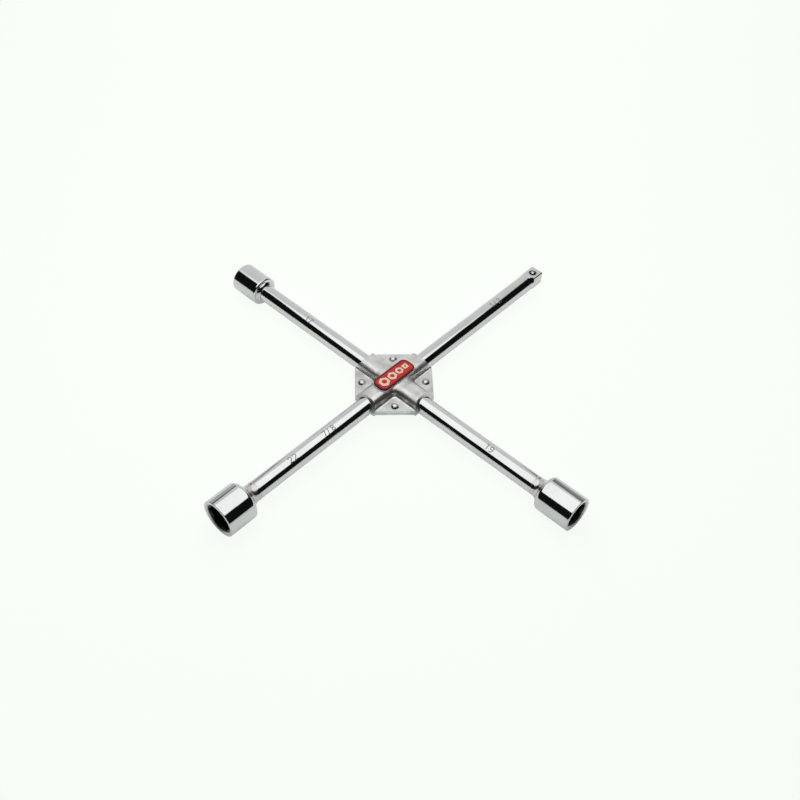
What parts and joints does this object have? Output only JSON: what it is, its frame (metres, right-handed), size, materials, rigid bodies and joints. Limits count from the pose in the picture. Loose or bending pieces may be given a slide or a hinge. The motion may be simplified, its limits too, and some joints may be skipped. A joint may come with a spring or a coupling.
{
  "type": "lug wrench",
  "caption": "Cross-shaped lug wrench: round chromed arms with hexagon sockets and a sprung-ball square drive, clamped at the crossing by a riveted stamped hub.",
  "frame": {"origin": "the point where the two bars' axes cross, at the middle of the hub", "axes": "+X towards the 19 mm socket, -X the 17 mm socket, -Y the 22 mm socket, +Y the square drive, +Z out of the badge side of the hub"},
  "size_m": [0.392, 0.397, 0.0332],
  "materials": {
    "chrome_bar": "polished chrome plate on steel",
    "chrome_socket": "polished chrome plate on steel",
    "chrome_weld": "chrome plate over dressed weld",
    "raw_weld": "as welded, hidden in the hub",
    "satin_plate": "satin nickel plate on pressed steel",
    "rivet_steel": "plated dome-head rivet",
    "adhesive": "thin foam tape",
    "badge_border": "dark lacquer",
    "badge_red": "red enamel with pale nut marks",
    "ball_steel": "polished bearing steel",
    "spring_steel": "drawn spring wire"
  },
  "bodies": {
    "wrench": {"bar_x": "chrome_bar", "bar_y": "chrome_bar", "socket_22": "chrome_socket", "socket_19": "chrome_socket", "socket_17": "chrome_socket", "weld_22": "chrome_weld", "weld_19": "chrome_weld", "weld_17": "chrome_weld", "crossing_weld_top": "raw_weld", "crossing_weld_bottom": "raw_weld", "hub_plate_top": "satin_plate", "hub_plate_bottom": "satin_plate", "rivet_front": "rivet_steel", "rivet_right": "rivet_steel", "rivet_back": "rivet_steel", "rivet_left": "rivet_steel", "badge_tape": "adhesive", "badge_frame": "badge_border", "badge_face": "badge_red", "detent_spring": "spring_steel"},
    "detent": {"detent_ball": "ball_steel"}
  },
  "joints": [
    {"name": "detent_press", "type": "slide", "parent": "wrench", "child": "detent", "axis": [0, 0, -1], "range_m": [0, 0.0012], "stiffness_N_per_m": 2500, "springref_m": -0.0008, "deforming": ["detent_spring"]}
  ]
}
